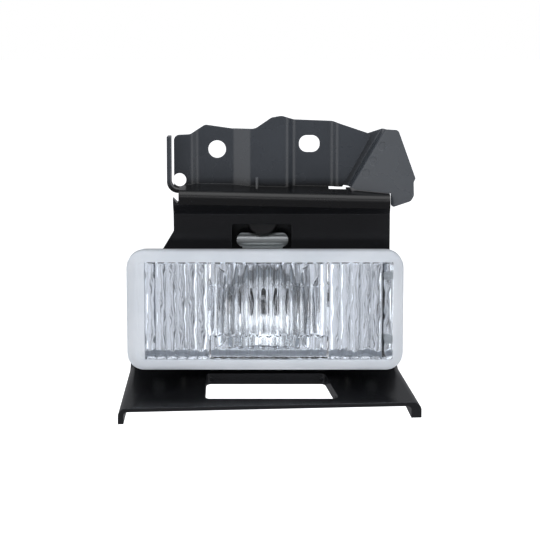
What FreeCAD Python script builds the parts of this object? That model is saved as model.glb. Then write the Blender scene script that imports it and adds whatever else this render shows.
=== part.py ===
"""Rectangular fog light on a formed sheet bracket, as a parametric FreeCAD 1.1 document.

Frame: +X to the viewer's right, +Y to the rear, +Z up, millimetres.
The origin is the centre of the round bolt hole, at the back face of the upper bracket.
Pieces of the lamp are drawn about the centre of the lens's front face and then placed.
"""
import FreeCAD, Part
import math
import os

import Sketcher
from FreeCAD import Placement, Rotation, Vector

doc = FreeCAD.newDocument("fog_light")
sheet = doc.addObject("Spreadsheet::Sheet", "Sizes")

SIZES = {
    # formed sheet
    "gauge": 2.0,
    "bend_outer": 4.0,
    "bend_inner": 2.0,
    # upper bracket: bolt holes and outline
    "bolt_hole": 9.6,
    "slot_wide": 11.2,
    "slot_high": 9.2,
    "slot_across": 50.0,
    "slot_up": 3.0,
    "plate_left": -23.3,
    "plate_right_top": 83.6,
    "plate_right_foot": 66.6,
    "shoulder_left_up": 8.2,
    "hole_crest_up": 13.3,
    "saddle_up": 11.2,
    "crest_up": 18.3,
    "slot_crest_up": 15.3,
    "shoulder_right_up": 8.2,
    "pad_step": 3.0,
    "middle_step": 4.0,
    "ledge_rear_up": -18.6,
    "ledge_fall": 3.0,
    "ledge_deep": 20.0,
    "lip_high": 7.0,
    "lip_left": -20.2,
    "lip_right": 93.0,
    "ledge_tilt": 1.26,
    "ear_high": 28.0,
    "ear_across": -26.6,
    "ear_deep": 13.0,
    "relief_hole": 7.2,
    # gusset flap
    "flap_lean_across": 18.0,
    "flap_lean_up": 30.7,
    "flap_root_across": 72.2,
    "flap_wall_across": 71.0,
    "weld_mark": 2.3,
    "weld_sink": 0.3,
    "flap_root_deep": 10.0,
    "flap_tip_across": 112.0,
    "flap_tip_deep": 24.0,
    # carrier panel and its shelf
    "panel_set_back": 4.0,
    "panel_left_top": -20.2,
    "panel_left_foot": -46.6,
    "panel_right": 93.2,
    "window_left": 8.1,
    "window_right": 40.3,
    "window_over_screw": -1.3,
    "opening_side_gap": 6.0,
    "opening_top_gap": 4.5,
    "shelf_rear_up": -116.5,
    "shelf_slope": 0.296,
    "shelf_front_left": -63.0,
    "shelf_front_right": -56.0,
    "shelf_left": -49.6,
    "shelf_right": 107.2,
    "flange_deep": 8.0,
    "side_bend": 4.0,
    "shelf_slot_wide": 69.0,
    "shelf_slot_deep": 27.0,
    "shelf_slot_front": -52.5,
    "shelf_rim_deep": 5.6,
    "rim_mark": 1.1,
    "rim_mark_up": -122.6,
    # lamp: centre of the lens's front face, and its pieces
    "lamp_x": 26.1,
    "lamp_reach": 38.0,
    "lamp_z": -81.05,
    "lens_wide": 144.8,
    "lens_high": 63.0,
    "lens_corner": 9.0,
    "lens_deep": 12.0,
    "lens_wall": 3.4,
    "lens_edge": 4.0,
    "flute_pitch": 5.35,
    "flute_depth": 0.7,
    "flute_count": 24,
    "flute_shift": 2.0,
    "seal_thick": 1.5,
    "seal_width": 2.4,
    "flange_thick": 3.0,
    "housing_wall": 2.0,
    "housing_wide": 88.0,
    "housing_high": 42.0,
    "housing_taper_deep": 18.0,
    "housing_deep": 30.0,
    "dish_radius": 30.0,
    "dish_half_high": 23.0,
    "dish_focus": 14.0,
    "dish_vertex": 32.0,
    "dish_wall": 1.3,
    "dish_hole": 6.5,
    "wing_wide": 132.0,
    "wing_high": 55.0,
    # bulb
    "bulb_bore": 10.0,
    "bulb_fit": 0.25,
    "bulb_flange": 13.5,
    "bulb_glass": 5.0,
    "bulb_glass_long": 21.0,
    # pivots and aiming gear
    "pivot_behind_panel": 7.0,
    "pivot_z": -15.0,
    "pin_radius": 2.5,
    "pin_fit": 0.06,
    "screw_x": -1.5,
    "screw_rise": 22.1,
    "screw_radius": 2.5,
    "strap_behind_nut": 1.3,
    "aim_travel": 2.6,
    "nut_flange": 8.0,
    "nut_neck": 5.2,
    "strap_wide": 28.0,
    "strap_gauge": 1.6,
    "aim_gap": 0.6,
    "rivet_head": 3.4,
    "rivet_shank": 2.0,
}

for row, (alias, number) in enumerate(SIZES.items(), start=1):
    sheet.set(f"A{row}", alias)
    sheet.set(f"B{row}", str(number))
    sheet.setAlias(f"B{row}", alias)
doc.recompute()


class Size:
    """A number together with the sheet expression that gives it."""

    def __init__(self, text, value):
        self.text = text
        self.value = value

    def __add__(self, other):
        other = size(other)
        return Size(f"({self.text} + {other.text})", self.value + other.value)

    def __sub__(self, other):
        other = size(other)
        return Size(f"({self.text} - {other.text})", self.value - other.value)

    def __mul__(self, other):
        other = size(other)
        return Size(f"({self.text} * {other.text})", self.value * other.value)

    def __truediv__(self, other):
        other = size(other)
        return Size(f"({self.text} / {other.text})", self.value / other.value)

    def __radd__(self, other):
        return size(other) + self

    def __rsub__(self, other):
        return size(other) - self

    def __rmul__(self, other):
        return size(other) * self

    def __neg__(self):
        return size(0) - self


def size(number):
    """Wraps a plain number, so that it can be joined with sizes from the sheet."""
    if isinstance(number, Size):
        return number
    return Size(f"({float(number)})", float(number))


class Sheet:
    """Gives each alias of the sheet as a Size: S.gauge and so on."""

    def __getattr__(self, alias):
        return Size(f"Sizes.{alias}", float(SIZES[alias]))


S = Sheet()
NODES = []



def panel_back():
    """Rear face of the carrier panel, which hangs from the ledge's lip."""
    return -S.ledge_deep + S.panel_set_back + S.gauge


def lamp_y():
    """The lens stands a set distance in front of the panel's rear face."""
    return panel_back() - S.lamp_reach


def pivot_y():
    return S.lamp_reach + S.pivot_behind_panel


def screw_z():
    """The aiming screw passes over the housing."""
    return S.housing_high / 2 + S.screw_rise


def window_top():
    return S.lamp_z + screw_z() + S.window_over_screw


def opening_half_wide():
    return S.housing_wide / 2 + S.opening_side_gap


def opening_half_high():
    return S.housing_high / 2 + S.opening_top_gap


def nut_front():
    """The nut's flange stays behind the panel, however far it travels."""
    return S.lamp_reach + S.aim_travel + 0.4


def strap_nose_y():
    return nut_front() + 1.9 + S.strap_behind_nut


# Free sketches lie in these planes: the first two axes are the sketch's own across and up.
PLANES = {
    "XY": Rotation(),
    "XZ": Rotation(Vector(1, 0, 0), 90),
    "YZ": Rotation(Vector(1, 1, 1), 120),
}
NORMALS = {"XY": Vector(0, 0, 1), "XZ": Vector(0, 1, 0), "YZ": Vector(1, 0, 0)}
ORIGIN = -1


def bind(thing, path, amount):
    """Ties a property to the sheet."""
    thing.setExpression(path, size(amount).text)


def pin_point(sketch, geo, end, across, up):
    """Dimensions one point of a sketch from the sketch's origin."""
    for kind, amount in (("DistanceX", size(across)), ("DistanceY", size(up))):
        rule = Sketcher.Constraint(kind, ORIGIN, 1, geo, end, amount.value)
        number = sketch.addConstraint(rule)
        bind(sketch, f"Constraints[{number}]", amount)


def corner_arc(before, point, after, radius):
    """Returns where a rounded corner starts and ends, and its arc, and whether it turns left."""
    back = (before - point).normalize()
    ahead = (after - point).normalize()
    half = back.getAngle(ahead) / 2
    cut = radius / math.tan(half)
    start = point + back * cut
    finish = point + ahead * cut
    centre = point + (back + ahead).normalize() * (radius / math.sin(half))
    left = ahead.cross(back).z > 0
    first, last = (start, finish) if left else (finish, start)
    turn = [math.atan2(spot.y - centre.y, spot.x - centre.x) for spot in (first, last)]
    arc = Part.ArcOfCircle(Part.Circle(centre, Vector(0, 0, 1), radius), turn[0], turn[1])
    return start, finish, arc, left


def draw_outline(sketch, corners):
    """Draws a closed outline. Each corner is (across, up) or (across, up, radius)."""
    spots = [Vector(size(c[0]).value, size(c[1]).value, 0) for c in corners]
    count = len(corners)
    rounds = {}
    for i, corner in enumerate(corners):
        if len(corner) > 2:
            after = spots[(i + 1) % count]
            rounds[i] = corner_arc(spots[i - 1], spots[i], after, size(corner[2]).value)
    lines = []
    for i in range(count):
        j = (i + 1) % count
        start = rounds[i][1] if i in rounds else spots[i]
        finish = rounds[j][0] if j in rounds else spots[j]
        lines.append(sketch.addGeometry(Part.LineSegment(start, finish), False))
    for i, corner in enumerate(corners):
        before, after = lines[i - 1], lines[i]
        if i not in rounds:
            sketch.addConstraint(Sketcher.Constraint("Coincident", before, 2, after, 1))
            pin_point(sketch, after, 1, corner[0], corner[1])
            continue
        arc = sketch.addGeometry(rounds[i][2], False)
        mark = sketch.addGeometry(Part.Point(spots[i]), True)
        first, last = (1, 2) if rounds[i][3] else (2, 1)
        pin_point(sketch, mark, 1, corner[0], corner[1])
        sketch.addConstraint(Sketcher.Constraint("PointOnObject", mark, 1, before))
        sketch.addConstraint(Sketcher.Constraint("PointOnObject", mark, 1, after))
        sketch.addConstraint(Sketcher.Constraint("Tangent", before, 2, arc, first))
        sketch.addConstraint(Sketcher.Constraint("Tangent", after, 1, arc, last))
        radius = size(corner[2])
        number = sketch.addConstraint(Sketcher.Constraint("Radius", arc, radius.value))
        bind(sketch, f"Constraints[{number}]", radius)


def prism(name, plane, corners, start, stop, along=None):
    """Extrudes an outline from start to stop along the plane's normal, or along a given way."""
    sketch = doc.addObject("Sketcher::SketchObject", name + "_outline")
    sketch.Placement = Placement(Vector(), PLANES[plane])
    draw_outline(sketch, corners)
    solid = doc.addObject("Part::Extrusion", name)
    solid.Base = sketch
    solid.DirMode = "Custom"
    solid.Dir = along or NORMALS[plane]
    solid.Solid = True
    bind(solid, "LengthFwd", stop)
    bind(solid, "LengthRev", -size(start))
    return solid


def rectangle(left, bottom, right, top, radius=None):
    """Corners of an upright rectangle, rounded or sharp."""
    corners = [(left, bottom), (right, bottom), (right, top), (left, top)]
    return [c + (radius,) for c in corners] if radius is not None else corners


def centred(wide, high, radius=None):
    """Corners of a rectangle about the sketch's origin."""
    wide, high = size(wide) / 2, size(high) / 2
    return rectangle(-wide, -high, wide, high, radius)


def cylinder(name, radius, start, stop, across, up, way="Y"):
    """A cylinder along Y at (X, Z), or along X at (Y, Z), or along Z at (X, Y)."""
    rod = doc.addObject("Part::Cylinder", name)
    bind(rod, "Radius", radius)
    bind(rod, "Height", size(stop) - start)
    turn = {"Y": Rotation(Vector(1, 0, 0), -90), "X": Rotation(Vector(0, 1, 0), 90), "Z": Rotation()}
    rod.Placement = Placement(Vector(), turn[way])
    places = {"Y": (across, start, up), "X": (start, across, up), "Z": (across, up, start)}
    for axis, amount in zip("xyz", places[way]):
        bind(rod, f"Placement.Base.{axis}", amount)
    return rod


def fuse(name, *pieces):
    joined = doc.addObject("Part::MultiFuse", name)
    joined.Shapes = list(pieces)
    joined.Refine = True
    return joined


def common(name, *pieces):
    shared = doc.addObject("Part::MultiCommon", name)
    shared.Shapes = list(pieces)
    return shared


def cut(name, base, *tools):
    tool = tools[0] if len(tools) == 1 else fuse(name + "_tools", *tools)
    left = doc.addObject("Part::Cut", name)
    left.Base = base
    left.Tool = tool
    left.Refine = True
    return left


def node(thing, label, in_lamp=False):
    """Names a finished sub-part, and places it about the lamp's centre where it is drawn there."""
    thing.Label = label
    if in_lamp:
        bind(thing, "Placement.Base.x", S.lamp_x)
        bind(thing, "Placement.Base.y", lamp_y())
        bind(thing, "Placement.Base.z", S.lamp_z)
    NODES.append(thing)
    return thing


def body(name, label=None, in_lamp=False):
    made = doc.addObject("PartDesign::Body", name)
    if label:
        node(made, label, in_lamp)
    return made


def turned(made, name, corners):
    """Revolves a section, drawn as (radius, along Y), about the body's own Y axis."""
    section = made.newObject("Sketcher::SketchObject", name + "_section")
    plane = [p for p in made.Origin.OriginFeatures if p.Role == "XY_Plane"][0]
    section.AttachmentSupport = [(plane, "")]
    section.MapMode = "FlatFace"
    draw_outline(section, corners)
    spun = made.newObject("PartDesign::Revolution", name)
    spun.Profile = section
    spun.ReferenceAxis = (section, ["V_Axis"])
    spun.Angle = 360
    return spun


# --- upper bracket -----------------------------------------------------------------------------

def plate_steps():
    """Front face of the upper plate in plan, as (across, forward of the back face, lean)."""
    pad = S.gauge
    side = pad + S.pad_step
    middle = pad + S.middle_step
    return [
        (-14.0, side, -1), (-10.2, pad, -1),
        (8.6, pad, 1), (18.4, middle, 1),
        (37.8, middle, -1), (41.8, pad, -1),
        (61.8, pad, 1), (65.4, side, 1),
    ]


def upper_bracket():
    steps = plate_steps()
    left, right = S.plate_left - 10, S.plate_right_top + 10
    side = S.gauge + S.pad_step
    soft = S.bend_outer
    front = [(left, -side)] + [(x, -y, soft) for x, y, _ in steps] + [(right, -side)]
    rear = [(right, S.gauge - side)]
    rear += [(x + lean, S.gauge - y, soft) for x, y, lean in reversed(steps)]
    rear += [(left, S.gauge - side)]
    wave = prism("plate_wave", "XY", front + rear, -40, 40)
    ahead = [(right, -60), (left, -60)]
    room = prism("ledge_room", "XY", ahead + [(left, S.gauge - side)] + rear[-2:0:-1] + [rear[0]], -40, 40)
    foot = S.ledge_rear_up - S.gauge
    outline = prism("plate_outline", "XZ", [
        (S.plate_left, foot), (S.plate_right_foot, foot - 2), (S.plate_right_top, S.shoulder_right_up, 2),
        (62.5, S.slot_crest_up, 4), (41.5, S.slot_crest_up + 0.8, 4), (35.1, S.crest_up, 5),
        (29.5, S.crest_up - 1, 4), (20.5, S.saddle_up, 6), (8, S.saddle_up, 6),
        (-6.5, S.hole_crest_up, 3), (-14.5, S.shoulder_left_up, 4), (S.plate_left, S.shoulder_left_up - 0.4, 3),
    ], -40, 40)
    plate = common("plate", wave, outline)
    top_front = S.ledge_rear_up - S.ledge_fall
    rear_edge = S.gauge + S.ledge_deep
    ledge = prism("ledge", "YZ", [
        (0, S.ledge_rear_up), (0, S.ledge_rear_up - S.gauge),
        (S.gauge - rear_edge, top_front - S.gauge, S.bend_inner),
        (S.gauge - rear_edge, top_front - S.lip_high), (-rear_edge, top_front - S.lip_high),
        (-rear_edge, top_front, S.bend_outer),
    ], S.lip_left, S.lip_right, tilted())
    ledge = common("ledge_trimmed", ledge, room)
    ear_foot = top_front + 1.2
    ear = prism("ear", "XZ", [
        (S.ear_across, ear_foot + S.ear_high), (S.ear_across, ear_foot - S.gauge, 6),
        (S.lip_left + 2, ear_foot - S.gauge - 0.2), (S.lip_left + 2, ear_foot - 0.2),
        (S.ear_across + S.gauge, ear_foot, 4), (S.ear_across + S.gauge, ear_foot + S.ear_high),
    ], 6 - rear_edge, S.ear_deep + 6 - rear_edge)
    bead = prism("corner_bead", "YZ", [
        (-S.gauge - S.middle_step + 1, -14.2), (-S.gauge - S.middle_step - 6.5, S.ledge_rear_up - 2.4),
        (-S.gauge - S.middle_step + 1, S.ledge_rear_up - 2),
    ], 20.9, 22.2)
    holes = [
        cylinder("round_bolt_hole", S.bolt_hole / 2, -20, 10, 0, 0),
        cylinder("corner_relief", S.relief_hole / 2, -20, 10, S.plate_left + 3, S.ledge_rear_up + 2.2),
        prism("oblong_bolt_hole", "XZ", rectangle(
            S.slot_across - S.slot_wide / 2, S.slot_up - S.slot_high / 2,
            S.slot_across + S.slot_wide / 2, S.slot_up + S.slot_high / 2, S.slot_high / 2 - 0.4), -20, 10),
        prism("foot_relief", "XZ", rectangle(60.5, -26.5, 69.8, -20.2), -8, 10),
    ]
    return node(cut("upper_bracket_solid", fuse("upper_bracket_blank", plate, ledge, ear, bead), *holes),
                "upper_bracket")


def tilted():
    """The ledge falls a little towards its right end."""
    return Vector(1, 0, -math.tan(math.radians(S.ledge_tilt.value)))


def gusset_flap():
    lean = Vector(S.flap_lean_across.value, 0, S.flap_lean_up.value).normalize()
    plate_back = -S.pad_step
    root = (S.flap_root_across, -S.flap_root_deep, 2)
    tab = plate_back + S.gauge
    profile = prism("flap_profile", "XY", [
        (58, plate_back), (S.flap_wall_across, plate_back, 1), root,
        (S.flap_tip_across, -S.flap_tip_deep), (S.flap_tip_across, S.gauge - S.flap_tip_deep),
        (S.flap_root_across + 1, S.gauge - S.flap_root_deep, 1.5), (S.flap_wall_across + 1, tab, 2), (58, tab),
    ], -12, 60, lean)
    outline = prism("flap_outline", "XZ", [
        (68.4, -19.4), (72.8, -20.1), (75, -21.1), (93.4, -22.6), (93.4, -30.2, 1.5), (103.9, -26.3, 3),
        (105.5, -23.4, 3), (105.4, -16.3, 1), (106.4, -14.3, 1), (97.6, 10.9, 2), (89.3, 11.2, 2), (77, 7.2),
        (68.4, -7.0),
    ], -60, 10)
    bind(profile.Base, "Placement.Base.z", S.ledge_rear_up - 1.4)
    return node(cut("gusset_flap_solid", common("flap_blank", profile, outline), *weld_marks(lean)), "gusset_flap")


def weld_marks(lean):
    """Three shallow round spot-weld marks beside the flap's root, square to its face."""
    run = Vector(S.flap_tip_across.value - S.flap_root_across.value,
                 S.flap_root_deep.value - S.flap_tip_deep.value, 0)
    normal = run.cross(lean).normalize()
    slope = S.flap_lean_across / S.flap_lean_up
    marks = []
    for i, up in enumerate((2.2, -5.7, -12.6)):
        mark = doc.addObject("Part::Cylinder", f"weld_mark_{i}")
        bind(mark, "Radius", S.weld_mark)
        bind(mark, "Height", 3)
        mark.Placement = Placement(Vector(), Rotation(Vector(0, 0, 1), normal))
        beside = 3.8
        sink = beside * (S.flap_tip_deep - S.flap_root_deep) / (S.flap_tip_across - S.flap_root_across)
        bind(mark, "Placement.Base.x", S.flap_root_across + (up - S.ledge_rear_up + 1.4) * slope + beside)
        bind(mark, "Placement.Base.y", -S.flap_root_deep - sink + S.weld_sink)
        bind(mark, "Placement.Base.z", up)
        marks.append(mark)
    return marks


# --- carrier panel: upright panel and sloping shelf, one pressing --------------------------------

def panel_face():
    """Front face of the pressing in side view, as named (along Y, up) corners."""
    lip_back = -S.ledge_deep
    set_back = lip_back + S.panel_set_back
    reach = S.shelf_front_left - 10
    fall = (set_back - reach) * S.shelf_slope
    return [
        (lip_back, size(-20)), (lip_back, size(-28.6)), (set_back, size(-33.6)),
        (set_back, S.shelf_rear_up), (reach, S.shelf_rear_up - fall),
    ]


def pressing(name, near, far):
    """The solid between two depths behind the pressing's front face."""
    def shifted(depth, soft):
        top, first, second, bend, tip = panel_face()
        drop = depth * 1.043
        return [
            (top[0] + depth, top[1]), (first[0] + depth, first[1] + depth * 0.4, 2),
            (second[0] + depth, second[1] + depth * 0.4, 2), (bend[0] + depth, bend[1] - depth * 0.75, soft),
            (tip[0], tip[1] - drop),
        ]
    front = shifted(near, S.bend_inner + near)
    back = shifted(far, S.bend_inner + far)
    return prism(name, "YZ", front + back[::-1], -70, 130)


def side_corners(inset):
    """Plan of the shelf's sides, a given distance in from its edges."""
    rear = 10
    return [
        (S.shelf_left + 3.6 + inset, rear), (S.shelf_left - 0.9 + inset, S.shelf_front_left),
        (S.shelf_right + 0.9 - inset, S.shelf_front_right), (S.panel_right - inset, rear),
    ]


def panel_corners(inset):
    """Front view of the panel's sides, a given distance in from its edges."""
    foot = S.shelf_rear_up - 60
    return [
        (S.panel_left_foot + inset, -82), (S.panel_left_foot - 6 + inset, -104),
        (S.panel_left_foot - 6 + inset, foot), (S.panel_right + 30 - inset, foot),
        (S.panel_right + 30 - inset, -104), (S.panel_right - inset, -92),
        (S.panel_right - inset, -28.6), (S.panel_left_top + inset, -26.2),
        (S.panel_left_top + inset - 0.9, -27.6), (S.panel_left_top + inset - 3.1, -25.0),
        (S.panel_left_top + inset - 2.9, -43.0),
    ]


def slot_corners(outset, front, soft):
    """Plan of the shelf's slot, whose right end slants, a given distance out from its edge."""
    middle = S.lamp_x + 1.5
    half = S.shelf_slot_wide / 2
    rear = S.shelf_slot_front + S.shelf_slot_deep
    return [
        (middle - half + 1.4 - outset, front, soft), (middle + half + 3 + outset, front, soft),
        (middle + half - 4 + outset, rear + outset, soft), (middle - half + 1.4 - outset, rear + outset, soft),
    ]


def carrier_panel():
    skin = pressing("panel_skin", 0, S.gauge)
    depth = pressing("panel_depth", 0, S.flange_deep)
    inside = pressing("panel_inside", S.gauge, S.flange_deep + 4)
    plan = prism("shelf_plan", "XY", side_corners(0), -200, 20)
    view = prism("panel_view", "XZ", panel_corners(0), -90, 20)
    core_plan = prism("shelf_core", "XY", [(x, y - 20 if i in (1, 2) else y) for i, (x, y) in
                                           enumerate(side_corners(S.gauge))], -200, 20)
    core_view = prism("panel_core", "XZ", panel_core(), -120, 30)
    shell = rounded_sides("panel_rounded", common("panel_shell", depth, plan, view), 0,
                          S.side_bend)
    hollow = rounded_sides("panel_core_rounded", common("panel_hollow", inside, core_plan, core_view),
                           S.gauge * 1.043, S.side_bend - S.gauge)
    slot_rear = S.shelf_slot_front + S.shelf_slot_deep
    slot_left = slot_corners(0, S.shelf_slot_front, 0)[0][0]
    rim = prism("shelf_rim", "XY", slot_corners(S.gauge, S.shelf_slot_front + 8, 4), -140, -100)
    rim = common("shelf_rim_wall", rim, pressing("rim_depth", S.gauge / 2, S.shelf_rim_deep))
    slot = prism("shelf_slot", "XY", slot_corners(0, S.shelf_slot_front, 2.5), -150, -95)
    window = prism("panel_window", "XZ", rectangle(
        S.window_left, S.lamp_z, S.window_right, window_top(), 1.5), -30, 0)
    opening = prism("lamp_opening", "XZ", rectangle(
        S.lamp_x - opening_half_wide(), S.lamp_z - opening_half_high(),
        S.lamp_x + opening_half_wide(), S.lamp_z + opening_half_high(), 6), -30, 0)
    bracket_holes = [
        cylinder(f"pivot_rivet_hole_{i}", S.rivet_shank, -30, 0, x, z) for i, (x, z) in enumerate(pivot_rivets())
    ]
    rim_marks = [
        cylinder(f"rim_weld_mark_{i}", S.rim_mark, slot_rear - 2, slot_rear + S.weld_sink, x, S.rim_mark_up)
        for i, x in enumerate((slot_left + 2.4, slot_left + 62.2))
    ]
    blank = fuse("panel_blank", cut("panel_tray", shell, hollow), rim)
    return node(cut("carrier_panel_solid", blank, slot, window, opening, *bracket_holes, *rim_marks),
                "carrier_panel")


def rounded_sides(name, block, drop, radius):
    """Rounds the edges where the shelf's top turns down at its sides, a given drop below its face."""
    doc.recompute()
    chosen = []
    for i, edge in enumerate(block.Shape.Edges):
        box = edge.BoundBox
        middle = edge.valueAt((edge.FirstParameter + edge.LastParameter) / 2)
        fall = (panel_back().value - S.gauge.value - middle.y) * S.shelf_slope.value
        top = S.shelf_rear_up.value - size(drop).value - fall
        if box.YLength > 25 and box.XLength > 1 and abs(middle.z - top) < 0.3:
            chosen.append((i + 1, radius.value, radius.value))
    print(name, "edges rounded:", len(chosen))
    rounded = doc.addObject("Part::Fillet", name)
    rounded.Base = block
    rounded.Edges = chosen
    return rounded


def panel_core():
    """Front view of the room inside the side flanges, open above and below."""
    corners = panel_corners(S.gauge)
    corners[6] = (S.panel_right - S.gauge, size(10))
    corners[7] = (S.panel_left_top + S.gauge - 2, size(10))
    del corners[8:10]
    return corners


# --- pivots --------------------------------------------------------------------------------------

def ear_face():
    """Half the distance between the inner faces of the pivot brackets' ears."""
    return S.housing_wide / 2 + 2.2


def pivot_rivets():
    reach = ear_face() + 12
    up = S.lamp_z + S.pivot_z
    return [(S.lamp_x + side * reach, up + rise) for side in (-1, 1) for rise in (-5, 5)]


def pivot_bracket(side, label):
    inner = ear_face()
    outer = inner + S.gauge
    foot = inner + 17
    soft = S.bend_inner
    back = panel_back() - lamp_y()
    high = 10
    if side < 0:
        plan = [(-inner, back), (-inner, back + 12), (-outer, back + 12), (-outer, back + S.gauge, 1),
                (-foot, back + S.gauge), (-foot, back)]
        plan[0] = (-inner, back, soft)
    else:
        plan = [(inner, back, soft), (foot, back), (foot, back + S.gauge), (outer, back + S.gauge, 1),
                (outer, back + 12), (inner, back + 12)]
    strip = prism(label + "_strip", "XY", plan, S.pivot_z - high, S.pivot_z + high)
    hole = cylinder(label + "_hole", S.pin_radius + S.pin_fit, -80, 80, pivot_y(), S.pivot_z, "X")
    reach = ear_face() + 12
    rivets = [cylinder(f"{label}_rivet_hole_{rise}", S.rivet_shank, 0, 80, size(side) * reach, S.pivot_z + rise)
              for rise in (-5, 5)]
    return node(cut(label + "_solid", strip, hole, *rivets), label, True)


def rivet(name, across, front, back, up):
    """A closed rivet along Y: a low head, the shank and the set end."""
    shank = cylinder(name + "_shank", S.rivet_shank, front - 1.2, back + 1.2, across, up)
    head = cylinder(name + "_head", S.rivet_head, front - 1.2, front, across, up)
    tail = cylinder(name + "_tail", S.rivet_head - 0.4, back, back + 1.2, across, up)
    return fuse(name, shank, head, tail)


def compound(name, pieces, label, in_lamp=False):
    """Identical fasteners share one sub-part as separate solids."""
    group = doc.addObject("Part::Compound", name)
    group.Links = pieces
    return node(group, label, in_lamp)


def pivot_fasteners():
    back = panel_back()
    rivets = [rivet(f"pivot_rivet_{i}", x, back - S.gauge, back + S.gauge, z)
              for i, (x, z) in enumerate(pivot_rivets())]
    compound("pivot_rivets", rivets, "pivot_bracket_rivets")


def pivot_pins():
    for side, word in ((-1, "left"), (1, "right")):
        wall = S.housing_wide / 2
        shank_in, shank_out = wall - 5, ear_face() + S.gauge + 0.4
        near, far = (shank_in, shank_out) if side > 0 else (-shank_out, -shank_in)
        shank = cylinder(word + "_pin_shank", S.pin_radius, near, far, pivot_y(), S.pivot_z, "X")
        near, far = (shank_out, shank_out + 1.6) if side > 0 else (-shank_out - 1.6, -shank_out)
        head = cylinder(word + "_pin_head", S.pin_radius + 1.8, near, far, pivot_y(), S.pivot_z, "X")
        node(fuse(word + "_pin", shank, head), word + "_pivot_pin", True)
        near, far = (wall - 5, wall + 1.6) if side > 0 else (-wall - 1.6, 5 - wall)
        sleeve = cylinder(word + "_bush_sleeve", S.pin_radius + 1.2, near, far, pivot_y(), S.pivot_z, "X")
        near, far = (wall + 0.5, wall + 1.6) if side > 0 else (-wall - 1.6, -wall - 0.5)
        collar = cylinder(word + "_bush_collar", S.pin_radius + 3, near, far, pivot_y(), S.pivot_z, "X")
        bore = cylinder(word + "_bush_bore", S.pin_radius, -80, 80, pivot_y(), S.pivot_z, "X")
        node(cut(word + "_bush", fuse(word + "_bush_blank", sleeve, collar), bore), word + "_pivot_bush", True)


# --- lens, seal, housing and reflector -----------------------------------------------------------

def lens():
    outer = prism("lens_block", "XZ", centred(S.lens_wide, S.lens_high, S.lens_corner), 0, S.lens_deep)
    doc.recompute()
    crown = doc.addObject("Part::Fillet", "lens_crown")
    crown.Base = outer
    crown.Edges = [(i + 1, S.lens_edge.value, S.lens_edge.value)
                   for i, edge in enumerate(outer.Shape.Edges) if edge.BoundBox.YMax < 0.01]
    wall = S.lens_wall
    hollow = prism("lens_hollow", "XZ", centred(S.lens_wide - 2 * wall, S.lens_high - 2 * wall,
                                                S.lens_corner - wall + 1), wall, S.lens_deep + 1)
    high = S.dish_half_high * 2 + 3
    flutes = []
    for i in range(int(S.flute_count.value)):
        across = S.flute_shift + (i - (S.flute_count.value - 1) / 2) * S.flute_pitch
        radius = S.flute_pitch * 0.95
        flutes.append(cylinder(f"flute_{i}", radius, -high / 2, high / 2, across,
                               wall - S.flute_depth + radius, "Z"))
    grooves = common("flute_grooves", fuse("flute_rods", *flutes),
                     prism("flute_depth_box", "XZ", centred(S.lens_wide - 2 * wall, high + 10), wall - 2, wall + 0.01))
    return node(cut("lens_solid", crown, hollow, grooves), "lens", True)


def lens_seal():
    back = S.lens_deep + S.seal_thick
    ring = prism("seal_outer", "XZ", centred(S.lens_wide - 1, S.lens_high - 1, S.lens_corner), S.lens_deep, back)
    room = prism("seal_inner", "XZ", centred(S.lens_wide - 1 - 2 * S.seal_width, S.lens_high - 1 - 2 * S.seal_width,
                                             S.lens_corner - S.seal_width), S.lens_deep - 1, back + 1)
    return node(cut("seal_solid", ring, room), "lens_seal", True)


def loft_box(name, near, far):
    """A tapered box along Y between two rounded rectangles, each (y, wide, high)."""
    sketches = []
    for i, (deep, wide, high) in enumerate((near, far)):
        sketch = doc.addObject("Sketcher::SketchObject", f"{name}_section_{i}")
        sketch.Placement = Placement(Vector(), PLANES["XZ"])
        draw_outline(sketch, centred(wide, high, 6))
        bind(sketch, "Placement.Base.y", deep)
        sketches.append(sketch)
    made = doc.addObject("Part::Loft", name)
    made.Sections = sketches
    made.Solid = True
    made.Ruled = True
    return made


def housing_front():
    return S.lens_deep + S.seal_thick


def pivot_bosses(name):
    """Blocks in the housing's side walls that the pivot pins turn in."""
    middle = S.housing_wide / 2 - 2.6
    return [cylinder(f"{name}_{i}", S.pin_radius + 3.4, x - 2.9, x + 2.9, pivot_y(), S.pivot_z, "X")
            for i, x in enumerate((-middle, middle))]


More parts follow.
